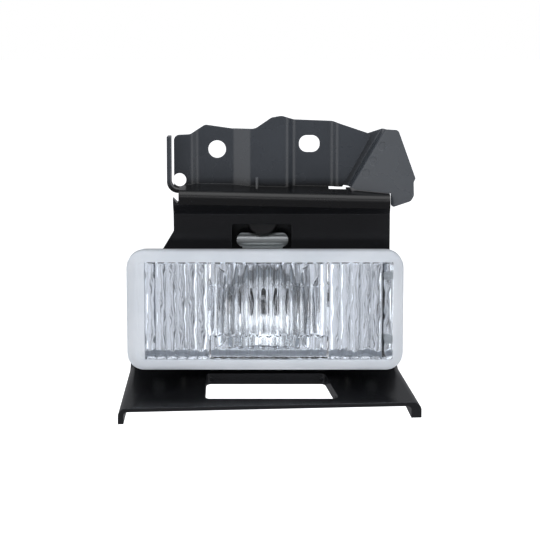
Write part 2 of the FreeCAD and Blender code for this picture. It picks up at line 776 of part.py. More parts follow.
def housing():
    front = housing_front()
    step = front + S.flange_thick
    waist = step + S.housing_taper_deep
    back = step + S.housing_deep
    wall = S.housing_wall
    flange = prism("housing_flange", "XZ", centred(S.lens_wide - 1, S.lens_high - 1, S.lens_corner), front, step)
    wide, high = S.wing_wide + 6, S.wing_high + 5
    taper = loft_box("housing_taper", (step, wide, high), (waist, S.housing_wide, S.housing_high))
    tail = prism("housing_tail", "XZ", centred(S.housing_wide, S.housing_high, 6), waist, back)
    collar = cylinder("socket_collar", S.bulb_flange + 2.5, back - 1, back + 5, 0, 0)
    outside = fuse("housing_outside", flange, taper, tail, collar, *pivot_bosses("pivot_boss"))
    room = loft_box("housing_taper_room", (step, wide - 2 * wall, high - 2 * wall),
                    (waist, S.housing_wide - 2 * wall, S.housing_high - 2 * wall))
    tail_room = prism("housing_tail_room", "XZ", centred(S.housing_wide - 2 * wall, S.housing_high - 2 * wall, 4),
                      waist, back - wall)
    mouth = prism("housing_mouth", "XZ", centred(wide - 2 * wall, high - 2 * wall, 6), front - 1, step)
    room = fuse("housing_room", room, tail_room, mouth)
    hollow = cut("housing_hollow", room, *pivot_bosses("pivot_boss_keep"))
    bore = cylinder("bulb_bore", S.bulb_bore + S.bulb_fit, back - 10, back + 10, 0, 0)
    seat = cylinder("bulb_seat", S.bulb_flange + S.bulb_fit, back + 1.5, back + 10, 0, 0)
    pins = cylinder("pivot_bore", S.pin_radius + 1.2, -80, 80, pivot_y(), S.pivot_z, "X")
    vent = cylinder("vent_hole", 2.5, back - 5, back + 5, 30, 10)
    screws = [cylinder(f"reflector_screw_hole_{i}", 1.2, step - 1, step + 9, x, z)
              for i, (x, z) in enumerate(reflector_screw_spots())]
    posts = [cylinder(f"reflector_post_{i}", 2.6, front + 1.5 + S.dish_wall, step + 8, x, z)
             for i, (x, z) in enumerate(reflector_screw_spots())]
    shell = fuse("housing_shell", cut("housing_thin", outside, hollow), *posts)
    rivets = [cylinder(f"strap_rivet_hole_{i}", S.rivet_shank, S.housing_high / 2 - 4, S.housing_high / 2 + 3, x, y, "Z")
              for i, (x, y) in enumerate(strap_rivet_spots())]
    return node(cut("housing_solid", shell, bore, seat, pins, vent, *screws, *rivets), "housing", True)


def reflector_screw_spots():
    half = S.wing_wide / 2 - 3
    return [(side * half, up) for side in (-1, 1) for up in (-17, 17)]


def paraboloid(name, radius, offset):
    """Solid of revolution inside the dish's face, moved back by an offset."""
    focus = S.dish_focus.value
    vertex = S.dish_vertex.value + offset
    rim = radius + offset
    spots = [Vector(rim * i / 12, vertex - (rim * i / 12) ** 2 / (4 * focus), 0) for i in range(13)]
    curve = Part.BSplineCurve()
    curve.interpolate(spots)
    mouth = Vector(rim, 0, 0)
    centre = Vector(0, 0, 0)
    edges = [curve.toShape(), Part.makeLine(spots[-1], mouth), Part.makeLine(mouth, centre),
             Part.makeLine(centre, spots[0])]
    made = doc.addObject("Part::Feature", name)
    made.Shape = Part.Face(Part.Wire(edges)).revolve(Vector(), Vector(0, 1, 0), 360)
    return made


def reflector():
    front = housing_front() + 1.5
    back = front + S.dish_wall
    half = S.dish_half_high
    radius = S.dish_radius.value
    plate = prism("wings", "XZ", centred(S.wing_wide, S.wing_high, 5), front, back)
    outer = common("dish_outer", paraboloid("dish_outer_solid", radius, S.dish_wall.value),
                   prism("dish_outer_trim", "XZ", centred(2 * radius + 20, 2 * half + 2 * S.dish_wall), front, 60))
    inner = common("dish_inner", paraboloid("dish_inner_solid", radius, 0),
                   prism("dish_inner_trim", "XZ", centred(2 * radius + 20, 2 * half), front - 5, 60))
    hole = cylinder("dish_hole", S.dish_hole, 10, 60, 0, 0)
    screws = [cylinder(f"wing_screw_hole_{i}", 1.7, front - 2, back + 2, x, z)
              for i, (x, z) in enumerate(reflector_screw_spots())]
    return node(cut("reflector_solid", fuse("reflector_blank", plate, outer), inner, hole, *screws),
                "reflector", True)


def reflector_screws():
    front = housing_front() + 1.5
    step = housing_front() + S.flange_thick
    screws = []
    for i, (x, z) in enumerate(reflector_screw_spots()):
        head = cylinder(f"reflector_screw_head_{i}", 2.4, front - 1.4, front, x, z)
        shank = cylinder(f"reflector_screw_shank_{i}", 1.2, front - 0.5, step + 6, x, z)
        screws.append(fuse(f"reflector_screw_{i}", head, shank))
    compound("reflector_screw_set", screws, "reflector_screws", True)


def vent_cap():
    back = housing_front() + S.flange_thick + S.housing_deep
    cap = body("vent_cap_body", "vent_cap", True)
    turned(cap, "vent_cap_turn", [(0, back - 3), (2.5, back - 3), (2.5, back), (4.5, back), (4.5, back + 4, 1),
                                  (0, back + 4)])
    cap_shift(cap, 30, 10)


def cap_shift(made, across, up):
    """Places a turned piece on an axis of its own, beside the lamp's."""
    bind(made, "Placement.Base.x", S.lamp_x + across)
    bind(made, "Placement.Base.z", S.lamp_z + up)


# --- bulb ----------------------------------------------------------------------------------------

def bulb():
    back = housing_front() + S.flange_thick + S.housing_deep
    seat = back + 1.5
    glass_front = S.dish_vertex - S.bulb_glass_long
    base = body("bulb_base_body")
    turned(base, "bulb_base_turn", [
        (0, S.dish_vertex + 3), (4.4, S.dish_vertex + 3), (4.4, back - 5), (S.bulb_bore - 1.6, back - 5),
        (S.bulb_bore - 1.6, back - 2), (S.bulb_bore, back - 2), (S.bulb_bore, seat + 0.3),
        (S.bulb_flange, seat + 0.3), (S.bulb_flange, seat + 4, 1), (8, seat + 4, 1), (8, seat + 17, 1),
        (6.6, seat + 17), (6.6, seat + 8), (0, seat + 8),
    ])
    grip = prism("bulb_grip", "XZ", centred(25, 2.6, 1), seat + 3.6, seat + 9)
    hollow = cylinder("bulb_grip_room", 7, seat, seat + 20, 0, 0)
    node(fuse("bulb_base_solid", base, cut("bulb_grips", grip, hollow)), "bulb_base", True)
    glass = body("bulb_glass_body", "bulb_glass", True)
    inner = S.bulb_glass - 0.8
    turned(glass, "bulb_glass_turn", [
        (0, glass_front), (S.bulb_glass, glass_front, 3.6), (S.bulb_glass, S.dish_vertex + 2.9),
        (inner, S.dish_vertex + 2.9), (inner, glass_front + 0.8, 2.9), (0, glass_front + 0.8),
    ])
    filament_at = S.dish_vertex - S.dish_focus
    coil = cylinder("filament_coil", 0.8, filament_at - 2.5, filament_at + 2.5, 0, 0)
    leads = [cylinder(f"filament_lead_{i}", 0.35, filament_at - 2.4 + 2.4 * i, S.dish_vertex + 3, x, 0)
             for i, x in enumerate((-0.9, 0.9))]
    node(fuse("bulb_filament_solid", coil, *leads), "bulb_filament", True)
    ring = body("bulb_ring_body", "bulb_seal_ring", True)
    turned(ring, "bulb_ring_turn", [(S.bulb_bore - 1.6, back - 5), (S.bulb_bore + 0.05, back - 5, 0.5),
                                    (S.bulb_bore + 0.05, back - 2, 0.5), (S.bulb_bore - 1.6, back - 2)])
    blades = [prism(f"bulb_blade_{i}", "XZ", rectangle(x - 0.4, -3, x + 0.4, 3), seat + 8, seat + 15)
              for i, x in enumerate((-3, 3))]
    compound("bulb_blades", blades, "bulb_terminals", True)


# --- aiming gear ---------------------------------------------------------------------------------

def strap_rivet_spots():
    return [(S.screw_x + side * 8, size(41)) for side in (-1, 1)]


def strap_plate():
    """Front face of the strap's upright end."""
    return strap_nose_y() + 5.6


def aim_strap():
    seat = S.housing_high / 2
    thick = S.strap_gauge
    nose = strap_nose_y()
    low, high = seat + 7.2, seat + 14.8
    plate = strap_plate()
    tail = nose + 7.4
    foot = tail - 15
    section = prism("strap_section", "YZ", [
        (foot, seat), (tail, seat, 2.4), (tail, low + thick, 2.4), (nose + thick, low + thick, 1.6),
        (nose + thick, high - thick, 1.6), (plate + thick, high - thick, 2.4), (plate + thick, high + 16),
        (plate, high + 16), (plate, high, 0.8), (nose, high, 3.4), (nose, low, 3.4), (tail - thick, low, 0.8),
        (tail - thick, seat + thick, 0.8), (foot, seat + thick),
    ], S.screw_x - S.strap_wide / 2, S.screw_x + S.strap_wide / 2)
    ends = prism("strap_ends", "XZ", rectangle(
        S.screw_x - S.strap_wide / 2, low, S.screw_x + S.strap_wide / 2, high, 3.7), nose - 1, nose + 4.4)
    arm = prism("strap_arm", "XZ", rectangle(
        S.screw_x - 11, seat - 1, S.screw_x + 11, high + 20, 3), foot - 1, nose + 20)
    upright = S.nut_neck + S.aim_gap + 1.8
    behind = fuse("strap_behind", prism("strap_riser", "XZ", rectangle(
        S.screw_x - 11, seat - 1, S.screw_x + 11, high - 0.8), nose + 4.4, nose + 20), prism(
        "strap_upright", "XZ", rectangle(S.screw_x - upright, high - 2, S.screw_x + upright, high + 20),
        nose + 4.4, nose + 20))
    front_foot = prism("strap_foot", "XZ", rectangle(
        S.screw_x - 11, seat - 1, S.screw_x + 11, seat + thick + 0.1), foot - 1, nose + 4.5)
    trimmed = fuse("strap_trimmed", common("strap_nose", section, ends),
                   common("strap_back", section, fuse("strap_keep", behind, front_foot), arm))
    neck = S.nut_neck + S.aim_gap
    slot = prism("strap_nut_slot", "XZ", rectangle(
        S.screw_x - neck, screw_z() - neck - 0.5, S.screw_x + neck, screw_z() + neck + 0.5, neck - 0.2),
        plate - 1, plate + thick + 1)
    holes = [cylinder(f"strap_hole_{i}", S.rivet_shank, seat - 1, seat + thick + 1, x, y, "Z")
             for i, (x, y) in enumerate(strap_rivet_spots())]
    return node(cut("aim_strap_solid", trimmed, slot, *holes), "aim_strap", True)


def strap_rivets():
    seat = S.housing_high / 2
    rivets = []
    for i, (x, y) in enumerate(strap_rivet_spots()):
        shank = cylinder(f"strap_rivet_shank_{i}", S.rivet_shank, seat - S.housing_wall - 1, seat + S.strap_gauge + 0.8,
                         x, y, "Z")
        head = cylinder(f"strap_rivet_head_{i}", S.rivet_head - 0.4, seat + S.strap_gauge, seat + S.strap_gauge + 0.8,
                        x, y, "Z")
        tail = cylinder(f"strap_rivet_tail_{i}", S.rivet_head - 0.6, seat - S.housing_wall - 1,
                        seat - S.housing_wall, x, y, "Z")
        rivets.append(fuse(f"strap_rivet_{i}", shank, head, tail))
    compound("strap_rivet_set", rivets, "aim_strap_rivets", True)


def adjuster_nut():
    plate = strap_plate()
    front = nut_front()
    rear = plate + S.strap_gauge + 0.5
    nut = body("adjuster_nut_body", "adjuster_nut", True)
    bore = S.screw_radius + 0.06
    turned(nut, "adjuster_nut_turn", [
        (0, front), (S.nut_flange, front, 0.7), (S.nut_flange, front + 1.9, 0.7), (S.nut_neck, front + 1.9),
        (S.nut_neck, plate - 2.2), (S.nut_neck + 1.3, plate - 2.2),
        (S.nut_neck + 1.3, plate - 0.5), (S.nut_neck, plate - 0.5), (S.nut_neck, rear),
        (S.nut_neck + 1.9, rear, 0.5), (S.nut_neck + 1.9, rear + 2.2, 0.5), (bore, rear + 2.2),
        (bore, front + 2), (0, front + 2),
    ])
    cap_shift(nut, S.screw_x, screw_z())


def bracket_plate():
    """Front face of the adjuster bracket's upright plate."""
    return strap_plate() + S.aim_travel + 7.4


def adjuster_bracket():
    plate = bracket_plate()
    back = panel_back() - lamp_y()
    thick = S.gauge
    half = size(20)
    legs = half + 10
    plan = prism("adjuster_plan", "XY", [
        (S.screw_x - legs, back), (S.screw_x - half, back, 1.5), (S.screw_x - half, plate, 2),
        (S.screw_x + half, plate, 2), (S.screw_x + half, back, 1.5), (S.screw_x + legs, back),
        (S.screw_x + legs, back + thick), (S.screw_x + half + thick, back + thick, 1),
        (S.screw_x + half + thick, plate + thick, 3.4), (S.screw_x - half - thick, plate + thick, 3.4),
        (S.screw_x - half - thick, back + thick, 1), (S.screw_x - legs, back + thick),
    ], S.housing_high / 2 + 1.6, screw_z() + 2.6)
    bore = cylinder("adjuster_bore", S.screw_radius + 0.08, plate - 5, plate + 5, S.screw_x, screw_z())
    shoulder = cylinder("adjuster_shoulder", size(8), plate, plate + thick, S.screw_x, screw_z())
    whole = fuse("adjuster_blank", plan, shoulder)
    return node(cut("adjuster_bracket_solid", whole, bore), "adjuster_bracket", True)


def aim_screw():
    plate = bracket_plate()
    tip = nut_front() + 2 + S.aim_travel + 0.4
    turned_screw = body("aim_screw_body")
    head = plate + S.gauge + 0.1
    groove = S.screw_radius - 0.7
    turned(turned_screw, "aim_screw_turn", [
        (0, tip), (S.screw_radius, tip, 0.6), (S.screw_radius, plate - 1.4),
        (groove, plate - 1.4), (groove, plate - 0.1), (S.screw_radius, plate - 0.1), (S.screw_radius, head),
        (5.4, head), (5.4, head + 1.2), (4.4, head + 1.2), (4.4, head + 5, 0.6), (0, head + 5),
    ])
    slot = prism("driver_slot", "XZ", centred(12, 1.4), head + 3.2, head + 8)
    screw = node(cut("aim_screw_solid", turned_screw, slot), "aim_screw", True)
    cap_shift(screw, S.screw_x, screw_z())
    clip = body("screw_clip_body", "screw_clip", True)
    turned(clip, "screw_clip_turn", [(groove, plate - 1.4), (4.6, plate - 1.4), (4.6, plate - 0.1),
                                     (groove, plate - 0.1)])
    cap_shift(clip, S.screw_x, screw_z())


# --- the whole lamp ------------------------------------------------------------------------------

upper_bracket()
gusset_flap()
carrier_panel()
pivot_bracket(-1, "left_pivot_bracket")
pivot_bracket(1, "right_pivot_bracket")
pivot_fasteners()
pivot_pins()
doc.recompute()
lens()
lens_seal()
housing()
reflector()
reflector_screws()
vent_cap()
bulb()
aim_strap()
strap_rivets()
adjuster_nut()
adjuster_bracket()
aim_screw()
doc.recompute()

for thing in doc.Objects:
    if "Invalid" in thing.State or "Error" in thing.State:
        raise RuntimeError(f"{thing.Name} did not build: {thing.State}")
os.makedirs("parts", exist_ok=True)
for made in NODES:
    if made.Shape.isNull() or not made.Shape.isValid():
        raise RuntimeError(f"{made.Label} has no valid shape")
    made.Shape.exportStep(f"parts/{made.Label}.step")
    box = made.Shape.BoundBox
    print(f"{made.Label:24s} {len(made.Shape.Solids)} solid, {made.Shape.Volume:9.0f} mm3, "
          f"x {box.XMin:6.1f} {box.XMax:6.1f}  y {box.YMin:6.1f} {box.YMax:6.1f}  z {box.ZMin:6.1f} {box.ZMax:6.1f}")
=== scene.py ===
# %% [markdown]
# # A rectangular fog light on its sheet-metal bracket
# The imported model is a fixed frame: every bracket, pin and bore already lies where it belongs, in metres.
# This lesson gives it its looks. Most pieces keep their own meshes and get a finish. The lens and the mirror
# are remade as finer meshes, because light has to bend in the one and bounce off the other.

# %% Load the frame
import math
import bpy
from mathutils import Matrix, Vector


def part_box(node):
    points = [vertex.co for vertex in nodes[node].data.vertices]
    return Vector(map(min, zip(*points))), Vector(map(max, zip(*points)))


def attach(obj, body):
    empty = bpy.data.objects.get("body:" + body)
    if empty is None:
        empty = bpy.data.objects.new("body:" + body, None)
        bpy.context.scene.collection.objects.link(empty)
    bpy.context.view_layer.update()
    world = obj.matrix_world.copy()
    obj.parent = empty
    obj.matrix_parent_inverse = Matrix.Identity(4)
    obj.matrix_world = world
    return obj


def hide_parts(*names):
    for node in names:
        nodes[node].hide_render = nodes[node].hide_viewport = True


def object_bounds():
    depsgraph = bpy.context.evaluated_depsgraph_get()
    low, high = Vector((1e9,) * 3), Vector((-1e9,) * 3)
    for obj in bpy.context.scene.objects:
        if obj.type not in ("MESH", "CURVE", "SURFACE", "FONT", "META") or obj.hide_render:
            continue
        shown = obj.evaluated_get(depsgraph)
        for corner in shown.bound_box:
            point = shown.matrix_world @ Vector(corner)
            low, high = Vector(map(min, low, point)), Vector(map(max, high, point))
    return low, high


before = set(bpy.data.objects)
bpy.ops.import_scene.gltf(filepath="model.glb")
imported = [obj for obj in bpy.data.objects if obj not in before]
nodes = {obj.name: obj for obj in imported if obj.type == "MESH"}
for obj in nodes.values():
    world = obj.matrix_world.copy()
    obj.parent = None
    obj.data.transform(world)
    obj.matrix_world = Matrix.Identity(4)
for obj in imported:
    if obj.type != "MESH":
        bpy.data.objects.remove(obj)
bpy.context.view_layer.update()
MM = 0.001

# %% [markdown]
# The lens is the middle of everything in the lamp, so its box gives the axis, the front face and the sizes
# that the finer pieces follow.

# %% The lamp's own axis and sizes
lens_low, lens_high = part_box("lens")
axis_x = (lens_low.x + lens_high.x) / 2
axis_z = (lens_low.z + lens_high.z) / 2
lens_front = lens_low.y
lens_wide = lens_high.x - lens_low.x
lens_tall = lens_high.z - lens_low.z
lens_deep = lens_high.y - lens_low.y
print("lens", round(lens_wide / MM, 1), "by", round(lens_tall / MM, 1), "mm")


def in_lamp(x, y, z):
    """A place in millimetres from the centre of the lens's front face."""
    return (axis_x + x * MM, lens_front + y * MM, axis_z + z * MM)


# %% [markdown]
# A material needs a few nodes each time: this helper starts one with its Principled shader, sets the plain
# sockets, and hands both back. Values that are the same all over stay on the shader's own sockets. Three more
# helpers add a node, a mix of two colours and a bump, and the last one starts a node group.

# %% A short way to start a material
def start_material(name, **sockets):
    made = bpy.data.materials.new(name)
    made.use_nodes = True
    shader = made.node_tree.nodes["Principled BSDF"]
    for key, amount in sockets.items():
        shader.inputs[key.replace("_", " ")].default_value = amount
    return made, made.node_tree, shader


def link(tree, source, target):
    tree.links.new(source, target)


def add_node(tree, kind, **sockets):
    """A shader node with some of its number inputs set."""
    made = tree.nodes.new("ShaderNode" + kind)
    for key, amount in sockets.items():
        made.inputs[key.replace("_", " ")].default_value = amount
    return made


def add_tint(tree, factor, first, second):
    """A mix of two colours; either may also be a socket to link."""
    mix = tree.nodes.new("ShaderNodeMix")
    mix.data_type = "RGBA"
    link(tree, factor, mix.inputs["Factor"])
    for socket, colour in (("A", first), ("B", second)):
        if isinstance(colour, tuple):
            mix.inputs[socket].default_value = (*colour, 1)
        else:
            link(tree, colour, mix.inputs[socket])
    return mix.outputs["Result"]


def add_bump(tree, shader, height, strength, distance):
    """A Bump node between a height and the shader's normal."""
    bump = add_node(tree, "Bump", Strength=strength, Distance=distance)
    link(tree, height, bump.inputs["Height"])
    link(tree, bump.outputs["Normal"], shader.inputs["Normal"])
    return bump


def new_group(name, inputs, outputs):
    """An empty node group with named number inputs and outputs."""
    group = bpy.data.node_groups.new(name, "ShaderNodeTree")
    for label, kind, amount in inputs:
        socket = group.interface.new_socket(label, in_out="INPUT", socket_type=kind)
        socket.default_value = amount
    for label, kind in outputs:
        group.interface.new_socket(label, in_out="OUTPUT", socket_type=kind)
    start = group.nodes.new("NodeGroupInput")
    finish = group.nodes.new("NodeGroupOutput")
    return group, start, finish


FLOAT, VECTOR = "NodeSocketFloat", "NodeSocketVector"


# %% [markdown]
# Painted and moulded surfaces are never perfectly even. Paint has a faint orange peel, and moulded plastic a
# fine grain. One group makes both: a fine noise gives a height for the Bump node, and a slow noise varies the
# gloss and clouds the colour.

# %% The unevenness group
def make_uneven():
    group, start, finish = new_group(
        "Uneven surface",
        [("Fine scale", FLOAT, 900.0), ("Gloss", FLOAT, 0.3), ("Gloss spread", FLOAT, 0.06)],
        [("Height", FLOAT), ("Roughness", FLOAT), ("Cloud", FLOAT)])
    place = add_node(group, "TexCoord")
    fine = add_node(group, "TexNoise", Detail=3.0)
    slow = add_node(group, "TexNoise", Scale=45.0, Detail=5.0)
    centre = add_node(group, "Math")
    centre.operation = "SUBTRACT"
    centre.inputs[1].default_value = 0.5
    spread = add_node(group, "Math")
    spread.operation = "MULTIPLY_ADD"
    link(group, place.outputs["Object"], fine.inputs["Vector"])
    link(group, place.outputs["Object"], slow.inputs["Vector"])
    link(group, start.outputs["Fine scale"], fine.inputs["Scale"])
    link(group, slow.outputs["Fac"], centre.inputs[0])
    link(group, centre.outputs[0], spread.inputs[0])
    link(group, start.outputs["Gloss spread"], spread.inputs[1])
    link(group, start.outputs["Gloss"], spread.inputs[2])
    link(group, fine.outputs["Fac"], finish.inputs["Height"])
    link(group, spread.outputs[0], finish.inputs["Roughness"])
    link(group, slow.outputs["Fac"], finish.inputs["Cloud"])
    return group


UNEVEN = make_uneven()


def add_uneven(tree, shader, scale, gloss, spread):
    """The group in a material, with its gloss linked to the shader."""
    uneven = tree.nodes.new("ShaderNodeGroup")
    uneven.node_tree = UNEVEN
    uneven.inputs["Fine scale"].default_value = scale
    uneven.inputs["Gloss"].default_value = gloss
    uneven.inputs["Gloss spread"].default_value = spread
    link(tree, uneven.outputs["Roughness"], shader.inputs["Roughness"])
    return uneven


print("group:", UNEVEN.name)


# %% [markdown]
# Where a pressing is bent or cut, paint wears a little thinner and catches the light. A Bevel node compares
# the rounded normal with the flat one: where they part, there is an edge. The rounded normal is handed on
# too, so that a cut edge shades like the small radius that a press tool and a coat of paint leave.

# %% The edge wear group
FLAT_COSINE = 0.995
EDGE_COSINE = 0.86


def make_edges():
    group, start, finish = new_group("Edge wear", [("Width", FLOAT, 0.0006)],
                                     [("Edge", FLOAT), ("Soft normal", VECTOR)])
    bevel = add_node(group, "Bevel")
    bevel.samples = 4
    flat = add_node(group, "NewGeometry")
    dot = add_node(group, "VectorMath")
    dot.operation = "DOT_PRODUCT"
    ramp = add_node(group, "MapRange", From_Min=FLAT_COSINE, From_Max=EDGE_COSINE)
    link(group, start.outputs["Width"], bevel.inputs["Radius"])
    link(group, bevel.outputs[0], dot.inputs[0])
    link(group, flat.outputs["Normal"], dot.inputs[1])
    link(group, dot.outputs["Value"], ramp.inputs["Value"])
    link(group, ramp.outputs[0], finish.inputs["Edge"])
    link(group, bevel.outputs[0], finish.inputs["Soft normal"])
    return group


EDGES = make_edges()
print("group:", EDGES.name)


# %% [markdown]
# The sheet metal is dipped in a dark coat. The upper bracket shows a satin slate grey, the carrier panel
# below it a deeper gloss black. That slate grey is painted sheen: the bright room's reflection on the same
# dark coat, put into the base colour. Both are the same recipe with different numbers, so one function makes
# them: base colour clouded a little, lighter along edges, and a weak shine, because a thin dip coat gives
# back less light than thick lacquer.
# Low down, along the lip and ledge, shade is painted into the upper bracket's coat: a second function blends
# a coat into another colour, a near black, between two heights.

# %% Painted sheet
def coat_by_height(tree, coat, start, end, other):
    """Blends a coat into another colour between two heights, in metres."""
    place = add_node(tree, "TexCoord")
    split = add_node(tree, "SeparateXYZ")
    share = add_node(tree, "MapRange", From_Min=start, From_Max=end)
    link(tree, place.outputs["Object"], split.inputs[0])
    link(tree, split.outputs["Z"], share.inputs["Value"])
    return add_tint(tree, share.outputs[0], coat, other)


def painted_sheet(name, dark, light, edge, gloss, spread, peel, shine, shade_low=None):
    made, tree, shader = start_material(name, Specular_IOR_Level=shine)
    uneven = add_uneven(tree, shader, 650.0, gloss, spread)
    wear = tree.nodes.new("ShaderNodeGroup")
    wear.node_tree = EDGES
    cloud = add_tint(tree, uneven.outputs["Cloud"], dark, light)
    coat = add_tint(tree, wear.outputs["Edge"], cloud, edge)
    if shade_low:
        coat = coat_by_height(tree, coat, *shade_low)
    link(tree, coat, shader.inputs["Base Color"])
    bump = add_bump(tree, shader, uneven.outputs["Height"], peel, 0.00005)
    link(tree, wear.outputs["Soft normal"], bump.inputs["Normal"])
    return made


# Painted sheen: the slate grey stands for the bright room reflected on the dark coat.
SHEENED_SLATE_EDGE = (0.085, 0.094, 0.107)
# Painted shade: below these heights the upper bracket's coat turns near black, over the lip and ledge.
PAINTED_SHADE_LOW = (-0.015, -0.020, (0.0015, 0.0016, 0.002))
SHEENED_SLATE = painted_sheet("Slate coat with painted sheen", (0.032, 0.037, 0.044), (0.042, 0.048, 0.056), SHEENED_SLATE_EDGE,
                      0.27, 0.06, 0.22, 0.5)
SHEENED_SLATE_SHADED_LOW = painted_sheet("Slate coat with painted sheen, painted shade low down", (0.026, 0.030, 0.036), (0.036, 0.041, 0.049), SHEENED_SLATE_EDGE,
                          0.27, 0.06, 0.22, 0.42, PAINTED_SHADE_LOW)
BLACK = painted_sheet("Gloss black coat", (0.0055, 0.0058, 0.0068), (0.0085, 0.009, 0.0105),
                      (0.030, 0.032, 0.037), 0.2, 0.07, 0.12, 0.36)
print("paints:", SHEENED_SLATE.name, SHEENED_SLATE_SHADED_LOW.name, BLACK.name)


# %% [markdown]
# Moulded plastic and rubber share the unevenness but have no worn edge.

# %% Moulded plastic and rubber
def moulded(name, colour, gloss, grain):
    made, tree, shader = start_material(name)
    uneven = add_uneven(tree, shader, 1400.0, gloss, 0.12)
    darker = tuple(c * 0.85 for c in colour)
    lighter = tuple(min(1, c * 1.2) for c in colour)
    tint = add_tint(tree, uneven.outputs["Cloud"], darker, lighter)
    link(tree, tint, shader.inputs["Base Color"])
    add_bump(tree, shader, uneven.outputs["Height"], grain, 0.0001)
    return made


HOUSING = moulded("Housing plastic", (0.022, 0.022, 0.024), 0.48, 0.5)
NYLON_BLACK = moulded("Black nylon", (0.012, 0.012, 0.013), 0.3, 0.15)
NYLON_WHITE = moulded("Natural nylon", (0.62, 0.6, 0.54), 0.4, 0.15)
RUBBER = moulded("Rubber", (0.018, 0.018, 0.018), 0.65, 0.4)
print("moulded:", HOUSING.name, NYLON_BLACK.name, NYLON_WHITE.name, RUBBER.name)


# %% [markdown]
# Zinc plating is bright but not a mirror. Rolling leaves fine lines along the strap, so the noise that
# drives its gloss is stretched across. Above its bright nose the aiming strap's upright is coloured black:
# painted shade, where the upright stands in the dark behind the panel.

# %% Plated steel and brass
def rolled_metal(name, dull, bright, gloss, painted_shade=None):
    made, tree, shader = start_material(name, Metallic=1.0)
    place = add_node(tree, "TexCoord")
    stretch = add_node(tree, "Mapping", Scale=(20.0, 500.0, 500.0))
    lines = add_node(tree, "TexNoise", Scale=3.0, Detail=6.0)
    rough = add_node(tree, "MapRange", To_Min=gloss - 0.08, To_Max=gloss + 0.14)
    link(tree, place.outputs["Object"], stretch.inputs["Vector"])
    link(tree, stretch.outputs["Vector"], lines.inputs["Vector"])
    coat = add_tint(tree, lines.outputs["Fac"], dull, bright)
    if painted_shade:
        coat = coat_by_height(tree, coat, *painted_shade)
    link(tree, coat, shader.inputs["Base Color"])
    link(tree, lines.outputs["Fac"], rough.inputs["Value"])
    link(tree, rough.outputs[0], shader.inputs["Roughness"])
    add_bump(tree, shader, lines.outputs["Fac"], 0.25, 0.00004)
    return made


DULL_ZINC, BRIGHT_ZINC = (0.38, 0.40, 0.41), (0.72, 0.75, 0.76)
ZINC = rolled_metal("Zinc plate", DULL_ZINC, BRIGHT_ZINC, 0.4)
strap_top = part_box("aim_strap")[1].z
# Painted shade: the strap turns black from just above its nose upward.
STRAP_PAINTED_SHADE = (strap_top - 16.5 * MM, strap_top - 15.9 * MM, (0.012, 0.012, 0.013))
ZINC_SHADED_TOP = rolled_metal("Zinc plate, painted shade on top", DULL_ZINC, BRIGHT_ZINC, 0.4, STRAP_PAINTED_SHADE)
BRASS = rolled_metal("Brass blades", (0.55, 0.38, 0.14), (0.85, 0.63, 0.3), 0.25)
TUNGSTEN = rolled_metal("Tungsten wire", (0.2, 0.2, 0.21), (0.4, 0.4, 0.42), 0.35)
print("metals:", ZINC.name, ZINC_SHADED_TOP.name, BRASS.name, TUNGSTEN.name)


# %% [markdown]
# The mirror inside the lamp is a thin film of aluminium on plastic. It is almost a perfect mirror, and a
# very slow noise in its gloss keeps it from looking computed.

# %% The mirror film
def mirror_film():
    made, tree, shader = start_material("Aluminium film", Metallic=1.0, Base_Color=(0.9, 0.91, 0.93, 1))
    uneven = add_uneven(tree, shader, 160.0, 0.09, 0.08)
    add_bump(tree, shader, uneven.outputs["Height"], 0.12, 0.0002)
    return made


MIRROR = mirror_film()
print("mirror:", MIRROR.name)


# %% [markdown]
# Pressed glass is clear with a skin that flowed as it cooled, which a faint broad ripple shows. The border
# of the lens is left rough by the mould and looks milky, so it gets a finish of its own: part of the light
# goes through, and the rest is spread as by ground glass.

# %% The glasses
def pressed_glass():
    made, tree, shader = start_material("Pressed glass", Transmission_Weight=1.0, IOR=1.5, Roughness=0.02,
                                        Base_Color=(0.93, 0.96, 0.985, 1))
    place = add_node(tree, "TexCoord")
    flow = add_node(tree, "TexNoise", Scale=240.0, Detail=2.0)
    link(tree, place.outputs["Object"], flow.inputs["Vector"])
    add_bump(tree, shader, flow.outputs["Fac"], 0.15, 0.0002)
    return made


def milky_glass():
    made, tree, shader = start_material("Milky glass border", Transmission_Weight=0.45, IOR=1.5)
    uneven = add_uneven(tree, shader, 300.0, 0.5, 0.1)
    tint = add_tint(tree, uneven.outputs["Cloud"], (0.60, 0.65, 0.71), (0.84, 0.87, 0.91))
    link(tree, tint, shader.inputs["Base Color"])
    add_bump(tree, shader, uneven.outputs["Height"], 0.1, 0.0001)
    return made


def clear_quartz():
    made, tree, shader = start_material("Bulb quartz", Transmission_Weight=1.0, IOR=1.45)
    flow = add_node(tree, "TexNoise", Scale=300.0)
    rough = add_node(tree, "MapRange", To_Min=0.0, To_Max=0.04)
    link(tree, flow.outputs["Fac"], rough.inputs["Value"])
    link(tree, rough.outputs[0], shader.inputs["Roughness"])
    return made


PRESSED_GLASS = pressed_glass()
MILKY_GLASS = milky_glass()
QUARTZ = clear_quartz()
print("glasses:", PRESSED_GLASS.name, MILKY_GLASS.name, QUARTZ.name)


# %% [markdown]
# Every carried-over node gets its finish here, from a table that reads like the parts list.

